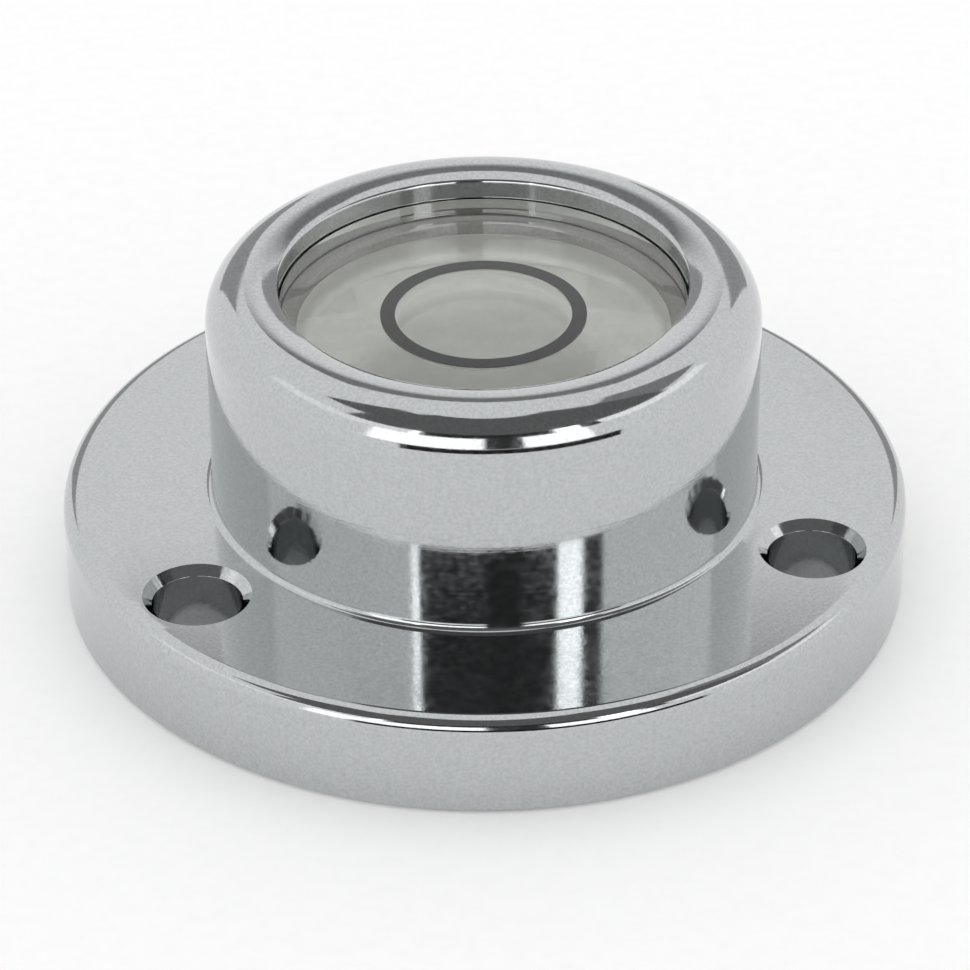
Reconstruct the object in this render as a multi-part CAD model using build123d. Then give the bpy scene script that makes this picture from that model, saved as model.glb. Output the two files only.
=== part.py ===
from build123d import *
import math
import os

# Bullseye level: a round spirit level in a turned, chrome-plated flange mount.
# Millimetres. The origin is the centre of the mounting face, and +Z points up
# through the window. One screw hole lies on +Y, so -Y is the side between two holes.

# Head, the upright cylinder with a rounded rim
head_diameter = 31.0
overall_height = 19.2
rim_outer_round = 2.5
rim_land_width = 1.6
rim_land_curve = 3.6
rim_edge_round = 0.15
head_foot_fillet = 0.4

# Flange, the foot that is screwed down: a land of this width around the head
flange_land = 8.5
flange_thickness = 6.0
flange_edge_round = 0.9
flange_foot_chamfer = 0.3

# Screw holes through the flange, chamfered on both faces
screw_hole_count = 3
screw_hole_diameter = 5.0
screw_hole_chamfer = 0.5
screw_edge_distance = 4.25
first_screw_hole_angle = 90.0

# Housing bore, open at the underside, where the vial unit goes in
head_wall = 2.5
bore_mouth_chamfer = 0.5

# Lens, seated below the crest of the rim
lens_recess = 1.5
lens_thickness = 2.8
lens_arris = 0.15
lens_hollow_radius = 150.0

# Target circle, enamel in a groove ground into the lens's underside
target_inner_diameter = 9.9
target_line_width = 0.8
target_depth = 0.12

# Rubber seal between lens and reservoir
seal_width = 0.9
seal_thickness = 0.5

# Reservoir, a turned cup with a straight wall and a dished floor
basin_wall_height = 1.0
basin_dish_radius = 38.0
basin_corner_fillet = 0.5
reservoir_floor_thickness = 3.2
reservoir_foot_chamfer = 0.5

# Bubble, a flat round hollow at the top of the spirit, resting a little off centre
bubble_diameter = 10.4
bubble_depth = 1.1
bubble_edge_round = 0.55
bubble_offset = 0.3

# Filling hole near the reservoir's side, closed from below by a screw and a washer
filler_edge_distance = 3.95
filler_angle = 270.0
filler_passage_diameter = 1.2
filler_bore_diameter = 3.0
filler_bore_depth = 2.6
filler_head_diameter = 5.5
filler_head_height = 1.8
filler_head_chamfer = 0.2
filler_slot_width = 0.8
filler_slot_depth = 0.8
filler_washer_thickness = 0.5

# Resin that closes the underside, held back from the mounting face
potting_recess = 0.8

# Clearances
lens_clearance = 0.05
reservoir_clearance = 0.05
thread_clearance = 0.03
screw_end_clearance = 0.3
washer_clearance = 0.05
liquid_film = 0.02
resin_film = 0.02

# Radii that follow from the sizes above
head_radius = head_diameter / 2
flange_radius = head_radius + flange_land
screw_circle_radius = flange_radius - screw_edge_distance
crest_radius = head_radius - rim_outer_round
window_radius = crest_radius - rim_land_width
bore_radius = head_radius - head_wall
lens_radius = window_radius - lens_clearance
seal_inner_radius = lens_radius - seal_width
basin_radius = seal_inner_radius
reservoir_radius = bore_radius - reservoir_clearance
filler_circle_radius = reservoir_radius - filler_edge_distance


def cap_rise(radius, reach):
    """Height of a spherical cap of the given sphere radius over a circle of radius reach."""
    return radius - math.sqrt(radius**2 - reach**2)


# Heights that follow, from the rim down to the filler screw's head
rim_outer_base = overall_height - rim_outer_round
window_edge = overall_height - cap_rise(rim_land_curve, rim_land_width)
lens_top = overall_height - lens_recess
lens_bottom = lens_top - lens_thickness
hollow_apex = lens_bottom + cap_rise(lens_hollow_radius, seal_inner_radius)
reservoir_top = lens_bottom - seal_thickness
dish_edge = reservoir_top - basin_wall_height
dish_bottom = dish_edge - cap_rise(basin_dish_radius, basin_radius)
reservoir_bottom = dish_bottom - reservoir_floor_thickness
filler_bore_top = reservoir_bottom + filler_bore_depth
filler_screw_top = filler_bore_top - screw_end_clearance
washer_bottom = reservoir_bottom - filler_washer_thickness
filler_head_bottom = washer_bottom - filler_head_height

# Axis of the filling hole
filler_axis = Rot(0, 0, filler_angle) * Pos(filler_circle_radius, 0, 0)


def disc(radius, low, high):
    """Upright cylinder on the Z axis between two heights."""
    return Pos(0, 0, low) * Cylinder(
        radius, high - low, align=(Align.CENTER, Align.CENTER, Align.MIN)
    )


def cone(low_radius, high_radius, low, high):
    """Upright cone frustum on the Z axis between two heights."""
    return Pos(0, 0, low) * Cone(
        low_radius, high_radius, high - low, align=(Align.CENTER, Align.CENTER, Align.MIN)
    )


def ring(outer, inner, low, high):
    """Flat ring on the Z axis between two heights."""
    return disc(outer, low, high) - disc(inner, low, high)


def hollow_ball(film):
    """Ball whose top is the lens's hollow underside, lowered by a film's thickness."""
    return Pos(0, 0, hollow_apex - lens_hollow_radius) * Sphere(lens_hollow_radius - film)


def circular_edges(solid, radius, height):
    """Full circles of one radius around the Z axis at one height."""
    return [
        edge
        for edge in solid.edges().filter_by(GeomType.CIRCLE)
        if math.isclose(edge.radius, radius, abs_tol=1e-4)
        and math.isclose(edge.arc_center.Z, height, abs_tol=1e-4)
        and math.hypot(edge.arc_center.X, edge.arc_center.Y) < 1e-4
    ]


def crest_arc(radius, reach, side):
    """Arc from the rim's crest, falling over a reach; side is +1 outwards and -1 inwards."""
    centre_height = overall_height - radius
    sweep = math.asin(reach / radius)
    return ThreePointArc(*[
        (
            crest_radius + side * radius * math.sin(angle),
            0,
            centre_height + radius * math.cos(angle),
        )
        for angle in (0, sweep / 2, sweep)
    ])


def make_screw_hole():
    """Cutter of one screw hole, with the chamfers at its two mouths."""
    radius = screw_hole_diameter / 2
    mouth_radius = radius + screw_hole_chamfer
    cutter = disc(radius, 0, flange_thickness)
    cutter += cone(mouth_radius, radius, 0, screw_hole_chamfer)
    cutter += cone(radius, mouth_radius, flange_thickness - screw_hole_chamfer, flange_thickness)
    return Pos(screw_circle_radius, 0, 0) * cutter


def make_housing():
    """Flange and head with a rim that dips gently to the window, turned from one bar."""
    outline = [
        Line((bore_radius, 0, 0), (flange_radius, 0, 0)),
        Line((flange_radius, 0, 0), (flange_radius, 0, flange_thickness)),
        Line((flange_radius, 0, flange_thickness), (head_radius, 0, flange_thickness)),
        Line((head_radius, 0, flange_thickness), (head_radius, 0, rim_outer_base)),
        crest_arc(rim_outer_round, rim_outer_round, 1),
        crest_arc(rim_land_curve, rim_land_width, -1),
        Line((window_radius, 0, window_edge), (window_radius, 0, reservoir_top)),
        Line((window_radius, 0, reservoir_top), (bore_radius, 0, reservoir_top)),
        Line((bore_radius, 0, reservoir_top), (bore_radius, 0, 0)),
    ]
    body = revolve(make_face(outline), Axis.Z)
    body = fillet(circular_edges(body, flange_radius, flange_thickness), flange_edge_round)
    body = chamfer(circular_edges(body, flange_radius, 0), flange_foot_chamfer)
    body = chamfer(circular_edges(body, bore_radius, 0), bore_mouth_chamfer)
    body = fillet(circular_edges(body, head_radius, flange_thickness), head_foot_fillet)
    body = fillet(circular_edges(body, window_radius, window_edge), rim_edge_round)
    screw_hole = make_screw_hole()
    for index in range(screw_hole_count):
        angle = first_screw_hole_angle + 360 / screw_hole_count * index
        body -= Rot(0, 0, angle) * screw_hole
    return body


def make_target_ring():
    """Black enamel that fills the groove of the target circle, flush with the hollow."""
    inner = target_inner_diameter / 2
    outer = inner + target_line_width
    return ring(outer, inner, lens_bottom, hollow_apex + target_depth) - hollow_ball(0)


def make_lens(target_ring):
    """Glass disc with a broken edge, a hollow underside and the groove of the target circle."""
    glass = disc(lens_radius, lens_bottom, lens_top)
    glass = chamfer(circular_edges(glass, lens_radius, lens_top), lens_arris)
    return glass - hollow_ball(0) - target_ring


def make_lens_seal():
    """Flat rubber ring, pressed between the lens and the reservoir's rim."""
    return ring(lens_radius, seal_inner_radius, reservoir_top, lens_bottom)


def basin(film, top):
    """Space above the dished floor up to a height, a film's thickness inside the walls."""
    radius = basin_radius - film
    dish_radius = basin_dish_radius - film
    floor = dish_bottom + film
    ball = Pos(0, 0, floor + dish_radius) * Sphere(dish_radius)
    space = disc(radius, reservoir_bottom, top) & ball
    corner = circular_edges(space, radius, floor + cap_rise(dish_radius, radius))
    return fillet(corner, basin_corner_fillet)


def make_reservoir():
    """Turned cup with a dished floor, a filling passage and a tapped bore under it."""
    cup = disc(reservoir_radius, reservoir_bottom, reservoir_top)
    cup = chamfer(circular_edges(cup, reservoir_radius, reservoir_bottom), reservoir_foot_chamfer)
    cup -= basin(0, reservoir_top)
    cup -= filler_axis * disc(filler_bore_diameter / 2, reservoir_bottom, filler_bore_top)
    cup -= filler_axis * disc(filler_passage_diameter / 2, filler_bore_top, dish_edge)
    return cup


def make_bubble():
    """Hollow that the bubble leaves, open upwards, with its lower edge rounded."""
    radius = bubble_diameter / 2
    low = hollow_apex - bubble_depth
    bubble = disc(radius, low, lens_top)
    bubble = fillet(circular_edges(bubble, radius, low), bubble_edge_round)
    return Pos(0, bubble_offset, 0) * bubble


def make_spirit():
    """Liquid up to the lens's hollow, down the filling passage, less the bubble."""
    passage_radius = filler_passage_diameter / 2 - liquid_film
    liquid = basin(liquid_film, lens_top) & hollow_ball(liquid_film)
    liquid += filler_axis * disc(passage_radius, filler_bore_top, dish_edge)
    return liquid - make_bubble()


def make_filler_screw():
    """Slotted cheese-head screw, entered from below."""
    screw_head_radius = filler_head_diameter / 2
    screw = disc(screw_head_radius, filler_head_bottom, washer_bottom)
    end_edge = circular_edges(screw, screw_head_radius, filler_head_bottom)
    screw = chamfer(end_edge, filler_head_chamfer)
    shank_radius = filler_bore_diameter / 2 - thread_clearance
    screw += disc(shank_radius, washer_bottom, filler_screw_top)
    screw -= Pos(0, 0, filler_head_bottom) * Box(
        filler_head_diameter,
        filler_slot_width,
        filler_slot_depth,
        align=(Align.CENTER, Align.CENTER, Align.MIN),
    )
    return filler_axis * screw


def make_filler_washer():
    """Fibre washer between the screw's head and the reservoir's underside."""
    outer = filler_head_diameter / 2
    inner = filler_bore_diameter / 2 + washer_clearance
    return filler_axis * ring(outer, inner, washer_bottom, reservoir_bottom)


def make_potting():
    """Resin poured around the filler screw, up to the reservoir's underside."""
    resin = disc(bore_radius - resin_film, potting_recess, reservoir_bottom)
    pocket_radius = filler_head_diameter / 2 + resin_film
    pocket = disc(pocket_radius, filler_head_bottom - resin_film, reservoir_bottom)
    return resin - filler_axis * pocket


target_ring = make_target_ring()
pieces = {
    "housing": make_housing(),
    "lens": make_lens(target_ring),
    "target_ring": target_ring,
    "lens_seal": make_lens_seal(),
    "reservoir": make_reservoir(),
    "spirit": make_spirit(),
    "filler_screw": make_filler_screw(),
    "filler_washer": make_filler_washer(),
    "potting": make_potting(),
}

os.makedirs("parts", exist_ok=True)
for name, piece in pieces.items():
    export_step(piece, f"parts/{name}.step")
    print(name, round(piece.volume, 2), "mm3")
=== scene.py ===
# %% [markdown]
# # A bullseye level in a chrome-plated flange mount
#
# A bullseye level is a shallow cup of clear spirit under a round glass. The underside
# of the glass is ground very slightly hollow, so the bubble runs to its middle, where a
# black circle shows when the instrument stands level. Here the cup sits in a turned
# brass housing with a flange and three screw holes, and the brass is plated with chrome.
#
# Chrome and glass have almost no colour of their own: what we see in them is the room.
# So this lesson gives equal care to the shapes, to the fine marks in the plating, and to
# the white room with its dark opening that the metal mirrors.

# %% Load the fixed frame
import math

import bmesh
import bpy
from mathutils import Matrix, Vector


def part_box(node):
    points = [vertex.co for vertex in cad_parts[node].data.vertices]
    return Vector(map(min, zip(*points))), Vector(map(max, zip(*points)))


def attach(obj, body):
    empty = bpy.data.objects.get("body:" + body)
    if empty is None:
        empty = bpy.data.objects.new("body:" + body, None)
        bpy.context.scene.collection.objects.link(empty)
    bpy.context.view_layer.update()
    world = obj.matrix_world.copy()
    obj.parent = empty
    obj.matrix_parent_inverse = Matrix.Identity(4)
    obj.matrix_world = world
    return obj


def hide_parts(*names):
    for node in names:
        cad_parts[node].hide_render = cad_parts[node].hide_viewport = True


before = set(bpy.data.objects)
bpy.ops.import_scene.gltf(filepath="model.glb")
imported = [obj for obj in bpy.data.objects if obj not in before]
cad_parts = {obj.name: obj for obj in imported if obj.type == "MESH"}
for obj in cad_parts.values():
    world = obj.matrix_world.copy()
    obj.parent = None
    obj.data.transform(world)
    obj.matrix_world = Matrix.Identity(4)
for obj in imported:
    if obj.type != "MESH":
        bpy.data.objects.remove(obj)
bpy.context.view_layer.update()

scene = bpy.context.scene
print("CAD pieces:", sorted(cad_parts))

# %% [markdown]
# ## Sizes
#
# Blender works in metres here, but a turner thinks in millimetres, so every size below is
# in millimetres and is multiplied by MM where it meets a mesh. The sizes that the frame
# knows are measured on it, and the rest repeat the drawing of the part.

# %% Sizes of the real pieces
MM = 0.001


def reach(node):
    """Radius of a round node in millimetres, from its box."""
    low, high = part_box(node)
    return (high.x - low.x) / 2 / MM


def heights(node):
    """Lowest and highest level of a node in millimetres."""
    low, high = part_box(node)
    return low.z / MM, high.z / MM


flange_radius = reach("housing")
housing_top = heights("housing")[1]
lens_radius = reach("lens")
lens_bottom, lens_top = heights("lens")
cup_radius = reach("reservoir")
cup_bottom, cup_top = heights("reservoir")
ring_radius = reach("target_ring")

flange_thickness = 6.0
flange_edge_round = 0.9
flange_foot_chamfer = 0.3
head_radius = 15.5
head_foot_round = 0.4
rim_outer_round = 2.5
rim_land_width = 1.6
rim_land_curve = 3.6
rim_edge_round = 0.15
crest_radius = head_radius - rim_outer_round
window_radius = crest_radius - rim_land_width
bore_radius = 13.0
bore_mouth_chamfer = 0.5
screw_hole_radius = 2.5
screw_hole_chamfer = 0.5
screw_circle_radius = 19.75
screw_angles = (90, 210, 330)

hollow_radius = 150.0
seal_inner_radius = 10.45
dish_radius = 38.0
dish_wall = 1.0
dish_corner_round = 0.5
ring_width = 0.8
ring_depth = 0.12
bubble_radius = 5.2
bubble_depth = 1.1
bubble_offset = 0.3
filler_circle_radius = 9.0
filler_passage_radius = 0.6
filler_bore_radius = 1.5
filler_bore_depth = 2.6


def cap_rise(radius, reach_out):
    """How far a ball's surface drops from its top at a distance from its axis."""
    return radius - math.sqrt(radius**2 - reach_out**2)


hollow_apex = lens_bottom + cap_rise(hollow_radius, seal_inner_radius)
dish_edge = cup_top - dish_wall
dish_bottom = dish_edge - cap_rise(dish_radius, seal_inner_radius)
print(f"flange {flange_radius * 2:.1f} mm wide, whole {housing_top:.1f} mm high")
print(f"lens from {lens_bottom:.2f} to {lens_top:.2f} mm, hollow apex {hollow_apex:.3f} mm")

# %% [markdown]
# ## The camera
#
# The photograph looks down at about 34 degrees, a little from the left of the line
# between two screw holes. The outlines of flange, head and target circle all together
# give the distance as well: about a quarter of a metre, with a long lens. The camera
# comes first.

# %% Camera at the photograph's viewing angle
camera_turn = math.radians(-7.0)
camera_elevation = math.radians(33.98)
camera_distance = 245.7
camera_roll = math.radians(0.365)
focal_length = 157.66
film_width = 36.0
aim_height = 5.3
aim_aside = 0.02

towards_camera = Vector((
    math.sin(camera_turn) * math.cos(camera_elevation),
    -math.cos(camera_turn) * math.cos(camera_elevation),
    math.sin(camera_elevation),
))
camera_data = bpy.data.cameras.new("camera")
camera_data.sensor_width = film_width
camera_data.lens = focal_length
camera = bpy.data.objects.new("camera", camera_data)
scene.collection.objects.link(camera)
place = towards_camera * camera_distance * MM
aim = Vector((aim_aside * MM, 0, aim_height * MM))
facing = (place - aim).to_track_quat("Z", "Y").to_matrix().to_4x4()
camera.matrix_world = Matrix.Translation(place) @ facing @ Matrix.Rotation(-camera_roll, 4, "Z")
scene.camera = camera
print("camera at", [round(value / MM, 1) for value in camera.matrix_world.translation], "mm")

# %% [markdown]
# ## Drawing an outline with a pen
#
# Every piece of this level was turned on a lathe, so each one is an outline that is spun
# around the axis. The pen below extrudes one vertex from corner to corner in the XZ
# plane. Corners that are rounded on the real piece are beveled while the outline is
# still a wire, which gives true arcs, and the shallow hollows and dishes are arcs that
# the spin operator draws around a point on the axis.

# %% The pen
ARC_STEP = 0.12


class Pen:
    """Draws a wire outline in the XZ plane, in millimetres."""

    def __init__(self, radius, height):
        self.bm = bmesh.new()
        self.tip = self.bm.verts.new((radius * MM, 0, height * MM))
        self.start = self.tip
        self.corners = []

    def line(self, radius, height, rounding=0.0):
        """Straight stretch to a corner, which is rounded when the outline is done."""
        made = bmesh.ops.extrude_vert_indiv(self.bm, verts=[self.tip])
        self.tip = made["verts"][0]
        self.tip.co = (radius * MM, 0, height * MM)
        if rounding:
            self.corners.append((self.tip, rounding))

    def arc(self, centre_height, to_radius, steps, centre_radius=0.0, rounding=0.0):
        """Arc around a point, as far as a given radius; its end may be a rounded corner."""
        centre = Vector((centre_radius * MM, 0, centre_height * MM))
        arm = self.tip.co - centre
        length = arm.length
        side = 1 if arm.z > 0 else -1
        turn = math.asin((to_radius - centre_radius) * MM / length) - math.asin(arm.x / length)
        made = bmesh.ops.spin(
            self.bm, geom=[self.tip], cent=centre, axis=(0, 1, 0), angle=side * turn, steps=steps
        )
        self.tip = made["geom_last"][0]
        if rounding:
            self.corners.append((self.tip, rounding))

    def finish(self, closed=True):
        """Joins the ends if asked, rounds the corners and returns the wire."""
        if closed:
            self.bm.edges.new((self.tip, self.start))
        for corner, rounding in self.corners:
            bmesh.ops.bevel(
                self.bm,
                geom=[corner],
                offset=rounding * MM,
                offset_type="OFFSET",
                segments=max(4, round(rounding / ARC_STEP)),
                profile=0.5,
                affect="VERTICES",
                clamp_overlap=False,
                material=-1,
            )
        return self.bm


# %% [markdown]
# ## From an outline to a piece
#
# The spin operator turns the wire once around the axis. Where an outline starts on the
# axis the spin leaves a fan of doubled points, so they are merged before the normals are
# made to point outwards. The shading of a turned piece needs care: a smooth surface
# would let the curved rim bleed into the flat flange, and in chrome that shows at once.
# A weighted normal modifier gives large flat faces the say, and real edges stay sharp.

# %% Turning and finishing a piece
TURN_STEPS = 256
SHARP_ANGLE = math.radians(32)


def turned(bm, steps=TURN_STEPS):
    """Spins a wire outline around the Z axis into a closed surface."""
    bmesh.ops.spin(
        bm,
        geom=bm.verts[:] + bm.edges[:],
        cent=(0, 0, 0),
        axis=(0, 0, 1),
        angle=2 * math.pi,
        steps=steps,
        use_merge=True,
    )
    bmesh.ops.remove_doubles(bm, verts=bm.verts, dist=1e-7)
    bmesh.ops.recalc_face_normals(bm, faces=bm.faces)
    return bm


def loose_object(name, bm):
    """Object with a bmesh's surface, at the origin."""
    mesh = bpy.data.meshes.new(name)
    bm.to_mesh(mesh)
    bm.free()
    obj = bpy.data.objects.new(name, mesh)
    scene.collection.objects.link(obj)
    return obj


def cut(obj, cutter, operation="DIFFERENCE"):
    """Cuts one object out of another, or joins it on, and throws the cutter away."""
    modifier = obj.modifiers.new("cut", "BOOLEAN")
    modifier.operation = operation
    modifier.solver = "EXACT"
    modifier.object = cutter
    evaluated = obj.evaluated_get(bpy.context.evaluated_depsgraph_get())
    mesh = bpy.data.meshes.new_from_object(evaluated)
    obj.modifiers.clear()
    obj.data = mesh
    bpy.data.objects.remove(cutter)


def dress(obj, node, materials):
    """Shades a new piece, gives it its finish and lets it stand for its CAD node."""
    obj.data.materials.clear()
    for material in materials:
        obj.data.materials.append(material)
    bm = bmesh.new()
    bm.from_mesh(obj.data)
    for face in bm.faces:
        face.smooth = True
    for edge in bm.edges:
        edge.smooth = edge.calc_face_angle(0) < SHARP_ANGLE
    open_edges = sum(1 for edge in bm.edges if len(edge.link_faces) != 2)
    bm.to_mesh(obj.data)
    bm.free()
    shading = obj.modifiers.new("flat faces stay flat", "WEIGHTED_NORMAL")
    shading.keep_sharp = True
    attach(obj, "root")
    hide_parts(node)
    print(f"{obj.name}: {len(obj.data.polygons)} faces, {open_edges} open edges")


# %% [markdown]
# ## Helpers for the materials
#
# A material is a small network: a pattern in object coordinates goes through a ramp or a
# bump node into the Principled shader. Object coordinates are in metres, so a noise of
# scale 4000 has features of about a quarter of a millimetre. The Map Range node has one
# set of sockets for plain values and another for colours, under the same names, so the
# colour sockets are found by their number.

# %% Node helpers
COLOUR_IN, COLOUR_START, COLOUR_END, COLOUR_LOW, COLOUR_HIGH = range(6, 11)
COLOUR_OUT = 1


class Finish:
    """A material under construction, with its nodes within reach."""

    def __init__(self, name):
        self.material = bpy.data.materials.new(name)
        self.material.use_nodes = True
        self.nodes = self.material.node_tree.nodes
        self.links = self.material.node_tree.links
        self.shader = self.nodes["Principled BSDF"]
        self.place = self.nodes.new("ShaderNodeTexCoord").outputs["Object"]

    def made(self):
        """Tells how large the network has become and hands over the material."""
        print(f"{self.material.name}: {len(self.nodes)} nodes")
        return self.material

    def set(self, **values):
        """Constant values on the shader's own sockets, spaces written as underscores."""
        for name, value in values.items():
            self.shader.inputs[name.replace("_", " ")].default_value = value

    def feed(self, source, socket):
        """Links an output to one of the shader's sockets."""
        self.links.new(source, self.shader.inputs[socket])

    def noise(self, scale, detail):
        """Noise in object coordinates."""
        noise = self.nodes.new("ShaderNodeTexNoise")
        noise.inputs["Scale"].default_value = scale
        noise.inputs["Detail"].default_value = detail
        self.links.new(self.place, noise.inputs["Vector"])
        return noise.outputs["Fac"]

    def ramp(self, source, low, high, start=0.3, end=0.7):
        """Spreads a 0 to 1 pattern between two values or two colours."""
        ramp = self.nodes.new("ShaderNodeMapRange")
        if isinstance(low, tuple):
            ramp.data_type = "FLOAT_VECTOR"
            ramp.inputs[COLOUR_START].default_value = (start,) * 3
            ramp.inputs[COLOUR_END].default_value = (end,) * 3
            ramp.inputs[COLOUR_LOW].default_value = low
            ramp.inputs[COLOUR_HIGH].default_value = high
            self.links.new(source, ramp.inputs[COLOUR_IN])
            return ramp.outputs[COLOUR_OUT]
        ramp.inputs["From Min"].default_value = start
        ramp.inputs["From Max"].default_value = end
        ramp.inputs["To Min"].default_value = low
        ramp.inputs["To Max"].default_value = high
        self.links.new(source, ramp.inputs["Value"])
        return ramp.outputs["Result"]

    def maths(self, operation, first, second=None):
        """One arithmetic step on patterns or numbers."""
        step = self.nodes.new("ShaderNodeMath")
        step.operation = operation
        for index, value in enumerate((first, second)):
            if value is None:
                continue
            if isinstance(value, (int, float)):
                step.inputs[index].default_value = value
            else:
                self.links.new(value, step.inputs[index])
        return step.outputs["Value"]

    def turning_marks(self, pitch):
        """Fine rings around the axis, as a lathe tool leaves them, on tops and walls alike."""
        split = self.nodes.new("ShaderNodeSeparateXYZ")
        self.links.new(self.place, split.inputs["Vector"])
        square_x = self.maths("POWER", split.outputs["X"], 2)
        square_y = self.maths("POWER", split.outputs["Y"], 2)
        radius = self.maths("SQRT", self.maths("ADD", square_x, square_y))
        along = self.maths("ADD", radius, split.outputs["Z"])
        noise = self.nodes.new("ShaderNodeTexNoise")
        noise.noise_dimensions = "1D"
        noise.inputs["Scale"].default_value = 1 / (pitch * MM)
        noise.inputs["Detail"].default_value = 3
        self.links.new(along, noise.inputs["W"])
        return noise.outputs["Fac"]

    def bump(self, pattern, depth, below=None):
        """Relief of a given depth in millimetres, on top of an earlier bump."""
        bump = self.nodes.new("ShaderNodeBump")
        bump.inputs["Strength"].default_value = 1.0
        bump.inputs["Distance"].default_value = depth * MM
        self.links.new(pattern, bump.inputs["Height"])
        if below is not None:
            self.links.new(below, bump.inputs["Normal"])
        return bump.outputs["Normal"]


# %% [markdown]
# ## Chrome plate
#
# The plating is hard, bright and a little blue. Looked at closely it isn't a perfect
# mirror: the polished brass below has long shallow waves, the lathe has left faint rings
# that comb the reflections on the wall into streaks, and a fine grain gives the flat top
# of the flange its speckle. Each of these is a bump of its own depth. The grain also
# changes the brightness very slightly, and pits a little coarser change the roughness.

# %% Chrome plate
def chrome_plate():
    chrome = Finish("chrome_plate")
    chrome.set(Metallic=1.0)
    grain = chrome.noise(5200, detail=3)
    pits = chrome.noise(1900, detail=2)
    waves = chrome.noise(230, detail=1)
    rings = chrome.turning_marks(0.3)
    tone = chrome.ramp(grain, (0.47, 0.484, 0.488), (0.56, 0.575, 0.58))
    chrome.feed(tone, "Base Color")
    chrome.feed(chrome.ramp(pits, 0.05, 0.12), "Roughness")
    relief = chrome.bump(waves, 0.005)
    relief = chrome.bump(rings, 0.0016, relief)
    relief = chrome.bump(grain, 0.0009, relief)
    chrome.feed(relief, "Normal")
    return chrome.made()


chrome = chrome_plate()

# %% [markdown]
# ## The housing
#
# One bar of brass, turned: a flange with a rounded edge, an upright head, and a rim that
# is rounded outside and dips gently towards the window, where it ends in a short upright
# wall. The outline runs once around the section and is closed, because the housing is
# bored out from below.

# %% Turn the housing
LAND_STEPS = 8
pen = Pen(bore_radius + bore_mouth_chamfer, 0)
pen.line(flange_radius - flange_foot_chamfer, 0)
pen.line(flange_radius, flange_foot_chamfer)
pen.line(flange_radius, flange_thickness, flange_edge_round)
pen.line(head_radius, flange_thickness, head_foot_round)
pen.line(head_radius, housing_top, rim_outer_round)
pen.line(crest_radius, housing_top)
pen.arc(housing_top - rim_land_curve, window_radius, LAND_STEPS, crest_radius, rim_edge_round)
pen.line(window_radius, cup_top)
pen.line(bore_radius, cup_top)
pen.line(bore_radius, bore_mouth_chamfer)
housing = loose_object("chrome_housing", turned(pen.finish()))
print("turned housing has", len(housing.data.polygons), "faces")

# %% [markdown]
# ## The screw holes
#
# A drill and a countersink make a screw hole, and so does the cutter below: it is a
# turned piece with a flare at both ends, moved onto the screw circle three times. A
# small bevel then breaks the edges that the cut left, because a plated edge is never
# razor sharp, and that narrow round is what catches the white of the room.

# %% Drill the flange
CUTTER_STEPS = 96
OVERSHOOT = 1.0
EDGE_BREAK = 0.06


def screw_hole_cutter(angle):
    """A drill with a countersink at both ends, standing at one place of the circle."""
    flare = screw_hole_radius + screw_hole_chamfer + OVERSHOOT
    drill = Pen(0, -OVERSHOOT)
    drill.line(flare, -OVERSHOOT)
    drill.line(screw_hole_radius, screw_hole_chamfer)
    drill.line(screw_hole_radius, flange_thickness - screw_hole_chamfer)
    drill.line(flare, flange_thickness + OVERSHOOT)
    drill.line(0, flange_thickness + OVERSHOOT)
    bm = turned(drill.finish(closed=False), CUTTER_STEPS)
    across = Matrix.Translation((screw_circle_radius * MM, 0, 0))
    around = Matrix.Rotation(math.radians(angle), 4, "Z")
    bmesh.ops.transform(bm, matrix=around @ across, verts=bm.verts)
    return loose_object("drill", bm)


for angle in screw_angles:
    cut(housing, screw_hole_cutter(angle))
edge_break = housing.modifiers.new("broken edges", "BEVEL")
edge_break.width = EDGE_BREAK * MM
edge_break.segments = 3
edge_break.limit_method = "ANGLE"
edge_break.angle_limit = SHARP_ANGLE
dress(housing, "housing", [chrome])

# %% [markdown]
# ## The satin cup
#
# The cup that holds the spirit is turned from aluminium, and its floor is a shallow dish.
# The tool marks run around the axis and a fine blast has dulled them, so the metal gives
# a soft, light grey: it is rough where the chrome is smooth.

# %% Satin metal
def satin_metal():
    satin = Finish("satin_metal")
    satin.set(Metallic=1.0)
    rings = satin.turning_marks(0.12)
    grain = satin.noise(3000, detail=3)
    cloud = satin.noise(420, detail=3)
    satin.feed(satin.ramp(cloud, (0.80, 0.785, 0.76), (0.90, 0.885, 0.86)), "Base Color")
    satin.feed(satin.ramp(grain, 0.54, 0.68), "Roughness")
    relief = satin.bump(rings, 0.003)
    relief = satin.bump(grain, 0.005, relief)
    satin.feed(relief, "Normal")
    return satin.made()


# %% [markdown]
# The outline of the cup starts and ends on the axis, so it stays open and the spin closes
# it. The real cup is filled through a small hole in its floor, with a wider bore below it
# for the filler screw, and two plain drills cut both.

# %% Turn the cup
DISH_STEPS = 20
cup_foot_round = 0.5
cup_lip_round = 0.05
cup_pen = Pen(0, cup_bottom)
cup_pen.line(cup_radius, cup_bottom, cup_foot_round)
cup_pen.line(cup_radius, cup_top, cup_lip_round)
cup_pen.line(seal_inner_radius, cup_top, cup_lip_round)
cup_pen.line(seal_inner_radius, dish_edge, dish_corner_round)
cup_pen.arc(dish_bottom + dish_radius, 0, DISH_STEPS)
cup = loose_object("satin_cup", turned(cup_pen.finish(closed=False)))


def filler_cutter(radius, low, high):
    """Plain drill for the filling hole, on the side of the cup that faces -Y."""
    drill = Pen(0, low)
    drill.line(radius, low)
    drill.line(radius, high)
    drill.line(0, high)
    bm = turned(drill.finish(closed=False), CUTTER_STEPS)
    bmesh.ops.translate(bm, verts=bm.verts, vec=(0, -filler_circle_radius * MM, 0))
    return loose_object("drill", bm)


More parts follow.
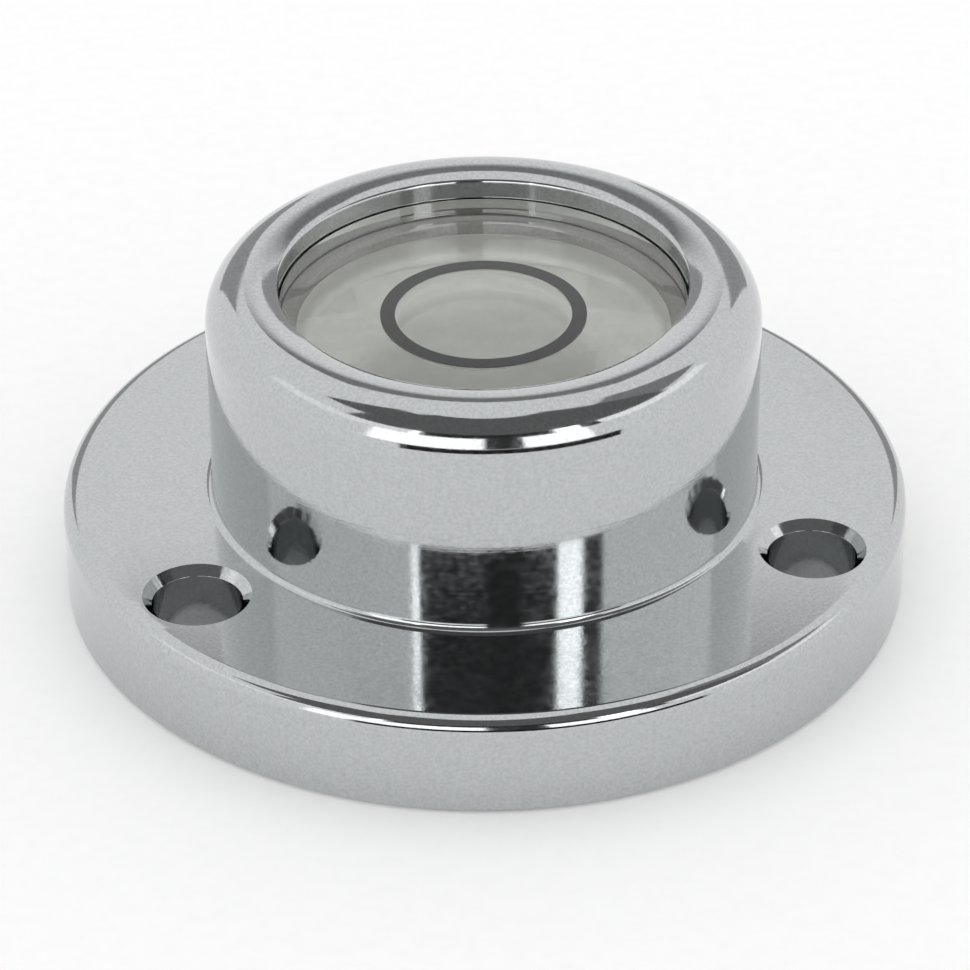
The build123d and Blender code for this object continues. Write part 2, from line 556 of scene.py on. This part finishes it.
filler_bore_top = cup_bottom + filler_bore_depth
cut(cup, filler_cutter(filler_bore_radius, cup_bottom - OVERSHOOT, filler_bore_top))
cut(cup, filler_cutter(filler_passage_radius, filler_bore_top - OVERSHOOT, dish_edge))
dress(cup, "reservoir", [satin_metal()])

# %% [markdown]
# ## Seal and target circle
#
# A flat rubber ring keeps the spirit in, and the target circle is black enamel in a
# groove on the underside of the glass. Both touch the glass on the real level. In the
# renderer two surfaces in one place fight each other, so the rubber stays a hundredth
# of a millimetre back. The enamel wets the glass, without any air between them, so its
# skin reaches as far into the glass instead, and light meets the black first.

# %% Rubber and enamel
HAIR = 0.01


def rubber_and_painted_shade():
    rubber = Finish("rubber_and_painted_shade")
    grain = rubber.noise(5000, detail=2)
    # The dark brown is partly the rubber's own colour and partly painted shade: it stands for
    # the shadow that the rim casts just inside the edge of the window.
    rubber.feed(rubber.ramp(grain, (0.19, 0.175, 0.16), (0.28, 0.26, 0.235)), "Base Color")
    rubber.feed(rubber.ramp(grain, 0.55, 0.8), "Roughness")
    rubber.feed(rubber.bump(grain, 0.01), "Normal")
    return rubber.made()


def black_enamel():
    enamel = Finish("black_enamel")
    mottle = enamel.noise(2600, detail=3)
    enamel.feed(enamel.ramp(mottle, (0.006, 0.006, 0.006), (0.02, 0.02, 0.018)), "Base Color")
    enamel.feed(enamel.ramp(mottle, 0.3, 0.55), "Roughness")
    enamel.feed(enamel.bump(mottle, 0.004), "Normal")
    return enamel.made()


# %% [markdown]
# The seal is a plain flat ring with slightly softened edges.

# %% Turn the seal
seal_edge_round = 0.08
seal_pen = Pen(seal_inner_radius + HAIR, cup_top + HAIR)
seal_pen.line(lens_radius - HAIR, cup_top + HAIR, seal_edge_round)
seal_pen.line(lens_radius - HAIR, lens_bottom - HAIR, seal_edge_round)
seal_pen.line(seal_inner_radius + HAIR, lens_bottom - HAIR, seal_edge_round)
seal = loose_object("rubber_seal", turned(seal_pen.finish()))
dress(seal, "lens_seal", [rubber_and_painted_shade()])

# %% [markdown]
# The target circle follows the hollow underside of the glass, which is part of a very
# large ball: over the width of the line it hardly rises, so two straight stretches do.

# %% Turn the target circle
ring_inner = ring_radius - ring_width
ring_top = hollow_apex + ring_depth


def hollow_height(radius):
    """Height of the lens's hollow underside at a distance from the axis."""
    return hollow_apex - cap_rise(hollow_radius, radius)


ring_pen = Pen(ring_inner - HAIR, hollow_height(ring_inner) + HAIR)
ring_pen.line(ring_radius + HAIR, hollow_height(ring_radius) + HAIR)
ring_pen.line(ring_radius + HAIR, ring_top + HAIR)
ring_pen.line(ring_inner - HAIR, ring_top + HAIR)
ring = loose_object("target_circle", turned(ring_pen.finish()))
dress(ring, "target_ring", [black_enamel()])

# %% [markdown]
# ## Glass and spirit
#
# Light bends three times on its way to the cup: into the glass, from the glass into the
# spirit, and out again the same way. Glass touching spirit hardly mirrors at all, since
# their refractive indices are close, so the underside of the lens carries the ratio of
# the two, 1.5 to 1.36, and the top of the spirit lets everything through. Over the
# bubble the glass meets air, and there it keeps its own index. That difference is why
# the bubble looks lighter than the spirit around it. The rim of the lens is ground and
# not polished, so it is a pale, dull grey, and it is drawn out to a fiftieth of a
# millimetre from the wall, where the drawing leaves a little more, because a wider gap
# would show as a black line that the photograph doesn't have.

# %% Clear materials
GLASS_INDEX = 1.5
SPIRIT_INDEX = 1.36


def polished_glass(name, index):
    """Clear glass, seen against whatever the index belongs to."""
    glass = Finish(name)
    glass.set(Transmission_Weight=1.0, IOR=index, Base_Color=(0.95, 0.975, 0.955, 1))
    smear = glass.noise(420, detail=3)
    glass.feed(glass.ramp(smear, 0.0, 0.03, 0.45, 0.75), "Roughness")
    return glass.made()


def clear_spirit():
    spirit = Finish("clear_spirit")
    spirit.set(Transmission_Weight=1.0, IOR=SPIRIT_INDEX, Roughness=0.0)
    haze = spirit.noise(300, detail=2)
    spirit.feed(spirit.ramp(haze, (0.93, 0.95, 0.93), (0.96, 0.975, 0.96)), "Base Color")
    return spirit.made()


def ground_edge():
    """The pale frost of glass that was ground round and left unpolished."""
    ground = Finish("ground_edge")
    grit = ground.noise(4200, detail=3)
    ground.feed(ground.ramp(grit, (0.66, 0.67, 0.65), (0.82, 0.83, 0.81)), "Base Color")
    ground.feed(ground.ramp(grit, 0.7, 0.95), "Roughness")
    ground.feed(ground.bump(grit, 0.006), "Normal")
    return ground.made()


def bare_material(name, kind):
    """Material of one shader only, for surfaces that carry no marks; returns both."""
    material = bpy.data.materials.new(name)
    material.use_nodes = True
    tree = material.node_tree
    tree.nodes.remove(tree.nodes["Principled BSDF"])
    shader = tree.nodes.new(kind)
    tree.links.new(shader.outputs[0], tree.nodes["Material Output"].inputs["Surface"])
    return material, shader


def wetted_face():
    """The skin of the spirit where it touches glass: there is no mirror there."""
    material, clear = bare_material("wetted_face", "ShaderNodeBsdfTransparent")
    clear.inputs["Color"].default_value = (1, 1, 1, 1)
    return material


# %% [markdown]
# The lens is turned as one closed skin, and its faces then get one of three finishes by
# where they lie and how they face: polished glass in air, polished glass on spirit, and
# the ground edge.

# %% Turn the lens
CAP_STEPS = 16
FACING_DOWN = -0.5
ON_SPIRIT, GROUND = 1, 2
lens_arris = 0.15
lens_foot_round = 0.08
glass_edge = window_radius - 2 * HAIR
cap_centre = hollow_apex - hollow_radius
lens_pen = Pen(0, lens_top)
lens_pen.line(glass_edge, lens_top, lens_arris)
lens_pen.line(glass_edge, lens_bottom, lens_foot_round)
lens_pen.line(seal_inner_radius, lens_bottom)
lens_pen.arc(cap_centre, ring_radius, CAP_STEPS)
lens_pen.line(ring_radius, ring_top)
lens_pen.line(ring_inner, ring_top)
lens_pen.line(ring_inner, hollow_height(ring_inner))
lens_pen.arc(cap_centre, 0, CAP_STEPS)
lens_mesh = turned(lens_pen.finish(closed=False))
for face in lens_mesh.faces:
    centre = face.calc_center_median()
    distance = math.hypot(centre.x, centre.y) / MM
    if distance > glass_edge - lens_arris:
        face.material_index = GROUND
    elif distance > ring_inner and face.normal.z < FACING_DOWN:
        face.material_index = ON_SPIRIT
lens = loose_object("glass_lens", lens_mesh)
dress(lens, "lens", [
    polished_glass("glass_in_air", GLASS_INDEX),
    polished_glass("glass_on_spirit", GLASS_INDEX / SPIRIT_INDEX),
    ground_edge(),
])

# %% [markdown]
# ## The bubble
#
# The bubble is a hollow in the spirit, pressed flat against the glass and round at its
# edge. It rests three tenths of a millimetre off the middle, as in the photograph. The
# outer skin of the spirit reaches a little into the metal and the rubber around it, so
# that no film of air is left where the real liquid wets the wall.

# %% Pour the spirit
WETTING = 0.05
spirit_pen = Pen(0, dish_bottom - WETTING)
spirit_pen.arc(dish_bottom + dish_radius, seal_inner_radius + WETTING, DISH_STEPS)
spirit_pen.line(seal_inner_radius + WETTING, hollow_height(seal_inner_radius) - HAIR)
spirit_pen.line(0, hollow_apex - HAIR)
spirit = loose_object("clear_spirit", turned(spirit_pen.finish(closed=False)))
cut(spirit, filler_cutter(filler_passage_radius + WETTING, filler_bore_top, dish_edge), "UNION")
print("the spirit fills the cup up to", round(hollow_apex, 3), "mm")

# %% [markdown]
# The bubble is cut out with a turned piece that has a round belly and a narrower throat.
# The throat reaches up through the top of the spirit, so that the hollow is open there
# and the glass above it meets air. The faces of the spirit that are left under the glass
# get the clear skin.

# %% Leave the bubble
FACING_UP = 0.9
WETTED = 1
bubble_belly_round = 0.5
bubble_side_round = 0.45
bubble_throat_radius = bubble_radius - 0.5
bubble_low = hollow_apex - bubble_depth
bubble_shoulder = hollow_apex - 0.08
bubble_pen = Pen(0, bubble_low)
bubble_pen.line(bubble_radius, bubble_low, bubble_belly_round)
bubble_pen.line(bubble_radius, bubble_shoulder, bubble_side_round)
bubble_pen.line(bubble_throat_radius, bubble_shoulder)
bubble_pen.line(bubble_throat_radius, hollow_apex + OVERSHOOT)
bubble_pen.line(0, hollow_apex + OVERSHOOT)
bubble_mesh = turned(bubble_pen.finish(closed=False))
bmesh.ops.translate(bubble_mesh, verts=bubble_mesh.verts, vec=(0, bubble_offset * MM, 0))
cut(spirit, loose_object("bubble", bubble_mesh))
dress(spirit, "spirit", [clear_spirit(), wetted_face()])
skin_level = (hollow_height(seal_inner_radius) - WETTING) * MM
top_faces = 0
for polygon in spirit.data.polygons:
    touches_glass = polygon.center.z > skin_level and polygon.normal.z > FACING_UP
    polygon.material_index = WETTED if touches_glass else 0
    top_faces += touches_glass
print("faces of the spirit that touch the glass:", top_faces)

# %% [markdown]
# ## What is hidden and what is underneath
#
# Turn the level over and the bore is closed by dark resin, poured in and left to find
# its level. The filler screw and its fibre washer are buried in it. Their shapes come
# from the drawing, and only their finishes are made here.

# %% Resin, brass and fibre
def poured_resin():
    resin = Finish("poured_resin")
    cloud = resin.noise(180, detail=3)
    fine = resin.noise(1500, detail=4)
    resin.feed(resin.ramp(cloud, (0.012, 0.012, 0.014), (0.03, 0.03, 0.033)), "Base Color")
    resin.feed(resin.ramp(fine, 0.22, 0.42), "Roughness")
    relief = resin.bump(cloud, 0.12)
    relief = resin.bump(fine, 0.01, relief)
    resin.feed(relief, "Normal")
    return resin.made()


def turned_brass():
    brass = Finish("turned_brass")
    brass.set(Metallic=1.0)
    grain = brass.noise(2400, detail=3)
    brass.feed(brass.ramp(grain, (0.62, 0.44, 0.18), (0.74, 0.55, 0.26)), "Base Color")
    brass.feed(brass.ramp(grain, 0.22, 0.38), "Roughness")
    brass.feed(brass.bump(grain, 0.004), "Normal")
    return brass.made()


def red_fibre():
    fibre = Finish("red_fibre")
    strands = fibre.noise(2600, detail=4)
    fibre.feed(fibre.ramp(strands, (0.16, 0.03, 0.02), (0.30, 0.07, 0.045)), "Base Color")
    fibre.feed(fibre.ramp(strands, 0.6, 0.85), "Roughness")
    fibre.feed(fibre.bump(strands, 0.01), "Normal")
    return fibre.made()


for node, finish in (
    ("potting", poured_resin()),
    ("filler_screw", turned_brass()),
    ("filler_washer", red_fibre()),
):
    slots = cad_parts[node].data.materials
    slots.clear()
    slots.append(finish)
    print(node, "gets", finish.name)

# %% [markdown]
# ## The room that the chrome mirrors
#
# The photograph was taken on a pale table in a white room. The world is plain white at
# a strength of 1, and the table is a wide round floor. Its material glows faintly, but
# only where it is looked at, straight or through a mirror or glass, so the page comes
# out white and the level gets no more light than before.

# %% Floor
FLOOR_LIFT = 0.12
FLOOR_REACH = 600.0
FLOOR_SIDES = 128


def pale_floor():
    """White paper, lifted to the white of the page where it is looked at, not for its light."""
    paper = Finish("pale_floor")
    fibre = paper.noise(900, detail=4)
    paper.feed(paper.ramp(fibre, (0.86, 0.86, 0.865), (0.885, 0.885, 0.885)), "Base Color")
    paper.set(Roughness=0.9, Emission_Color=(1, 1, 1, 1))
    seen = paper.nodes.new("ShaderNodeLightPath").outputs
    looked_at = paper.maths("ADD", seen["Is Camera Ray"], seen["Is Glossy Ray"])
    looked_at = paper.maths("ADD", looked_at, seen["Is Transmission Ray"])
    looked_at = paper.maths("MINIMUM", looked_at, 1.0)
    paper.feed(paper.maths("MULTIPLY", looked_at, FLOOR_LIFT), "Emission Strength")
    return paper.made()


floor_mesh = bmesh.new()
bmesh.ops.create_circle(
    floor_mesh, cap_ends=True, radius=FLOOR_REACH * MM, segments=FLOOR_SIDES
)
floor = loose_object("floor", floor_mesh)
floor.data.materials.append(pale_floor())

world = bpy.data.worlds.new("white_room")
world.use_nodes = True
world.node_tree.nodes["Background"].inputs["Color"].default_value = (1, 1, 1, 1)
world.node_tree.nodes["Background"].inputs["Strength"].default_value = 1.0
scene.world = world
print("the floor is", FLOOR_REACH * 2, "mm wide")

# %% [markdown]
# ## Cards that only mirrors see
#
# The reflections tell where the dark and the bright parts of the room were. Each of them
# is a card: a plain mesh with an emission material, hidden from the camera and from
# diffuse light, so that it changes what the chrome mirrors and nothing else. Some cards
# are kept out of the glass as well, because there they would darken the cup. A card may
# also fade in from the white of the room with its height.

# %% Hanging a card
def hang(obj, glow, in_glass=True, fade=None):
    """Makes a card glow in mirrors, and in glass if asked; it may fade in from the white."""
    material, light = bare_material(obj.name, "ShaderNodeEmission")
    light.inputs["Strength"].default_value = glow
    if fade:
        nodes = material.node_tree.nodes
        links = material.node_tree.links
        split = nodes.new("ShaderNodeSeparateXYZ")
        links.new(nodes.new("ShaderNodeTexCoord").outputs["Object"], split.inputs["Vector"])
        grade = nodes.new("ShaderNodeMapRange")
        grade.inputs["From Min"].default_value = fade[0] * MM
        grade.inputs["From Max"].default_value = fade[1] * MM
        grade.inputs["To Min"].default_value = 1.0
        grade.inputs["To Max"].default_value = glow
        links.new(split.outputs["Z"], grade.inputs["Value"])
        links.new(grade.outputs["Result"], light.inputs["Strength"])
    obj.data.materials.append(material)
    obj.visible_camera = False
    obj.visible_diffuse = False
    obj.visible_transmission = in_glass
    print(f"{obj.name}: glow {glow}")


# %% [markdown]
# A ceiling or a window as the level sees it covers so many degrees around and so many
# degrees up. One vertex is therefore spun up through its elevations, and the column that
# this leaves is spun around through its azimuths. Azimuth counts from the camera's side.

# %% A curved card
CARD_DISTANCE = 500.0
CARD_STEP = 3


def card(name, azimuth, elevation, glow, distance=CARD_DISTANCE, in_glass=True):
    """Curved card over a span of azimuth and of elevation, in degrees, as the level sees it."""
    side = azimuth[1] - azimuth[0]
    rise = elevation[1] - elevation[0]
    bm = bmesh.new()
    start = Vector((0, -distance * MM, 0))
    start.rotate(Matrix.Rotation(-math.radians(elevation[0]), 3, "X"))
    bmesh.ops.spin(
        bm,
        geom=[bm.verts.new(start)],
        cent=(0, 0, 0),
        axis=(1, 0, 0),
        angle=-math.radians(rise),
        steps=max(2, round(rise / CARD_STEP)),
    )
    bmesh.ops.rotate(
        bm,
        verts=bm.verts,
        cent=(0, 0, 0),
        matrix=Matrix.Rotation(math.radians(azimuth[0]) + camera_turn, 3, "Z"),
    )
    bmesh.ops.spin(
        bm,
        geom=bm.verts[:] + bm.edges[:],
        cent=(0, 0, 0),
        axis=(0, 0, 1),
        angle=math.radians(side),
        steps=max(2, round(side / CARD_STEP)),
    )
    hang(loose_object(name, bm), glow, in_glass)


# %% [markdown]
# The far cards change flange, head and rim alike. One thing is wanted on the rim alone: a
# soft grey at its back. A flat card close behind the level does it: the high rim mirrors
# it, while the flange, lower down, mirrors what lies under it.

# %% A flat card close behind
def small_card(name, distance, width, low, high, glow, full):
    """Upright card close behind the level, which has faded in fully at the height full."""
    bm = bmesh.new()
    bmesh.ops.create_grid(bm, x_segments=1, y_segments=1, size=0.5)
    bmesh.ops.scale(bm, verts=bm.verts, vec=(width * MM, (high - low) * MM, 1))
    bmesh.ops.rotate(bm, verts=bm.verts, matrix=Matrix.Rotation(math.radians(90), 3, "X"))
    bmesh.ops.translate(bm, verts=bm.verts, vec=(0, distance * MM, (low + high) / 2 * MM))
    bmesh.ops.rotate(bm, verts=bm.verts, matrix=Matrix.Rotation(camera_turn, 3, "Z"))
    hang(loose_object(name, bm), glow, in_glass=False, fade=(low, full))


# %% [markdown]
# Every card below answers to something in the photograph. The dark ceiling above and
# behind the camera makes the dark band around the front of the rim. Its lintel, the dark
# bar and the two bright strips are the block and the stripes on the head, and the pale
# sides are the light chrome beside them. Lower down, the bright panels with a dark gap
# between them give the white edge light of the rim and the flange, the near edge of the
# table gives the black line under it, and two grey sides and the small card tone down
# the back of the rim.

# %% Hang the cards
CEILING_EDGE = 38.5
card("dark_ceiling", (-62, 88), (CEILING_EDGE, 79), 0.16, in_glass=False)
card("dark_ceiling_left", (-90, -62), (52, 74), 0.16, in_glass=False)
card("dark_ceiling_right", (88, 118), (42, 67), 0.3, in_glass=False)
card("dark_lintel", (-27, 29), (30, CEILING_EDGE), 0.04)
card("dark_bar", (41, 49), (30, CEILING_EDGE), 0.08)
card("dark_gap", (0, 15), (5, 30), 0.05)
card("bright_strip_left", (-30, -27), (30, CEILING_EDGE), 3.3)
card("bright_strip_right", (30, 40), (30, CEILING_EDGE), 3.3)
card("pale_side_left", (-100, -30), (30, CEILING_EDGE), 1.22)
card("pale_side_right", (49, 110), (30, CEILING_EDGE), 1.36)
card("bright_panel_left", (-45, 0), (5, 30), 2.0)
card("bright_panel_right", (15, 42), (5, 30), 2.0)
card("table_edge", (-30, 50), (1.5, 11), 0.02, distance=110.0)
card("grey_side_left", (-170, -146), (5, 30), 0.42)
card("grey_side_right", (146, 172), (5, 30), 0.42)
small_card("grey_card_behind", 80, 60, 64, 125, 0.28, 84)
print("the far cards stand", CARD_DISTANCE, "mm from the level")

# %% [markdown]
# ## The end
#
# The view transform stays Standard, so that a colour comes out as it is written.

# %% View settings
scene.view_settings.view_transform = "Standard"
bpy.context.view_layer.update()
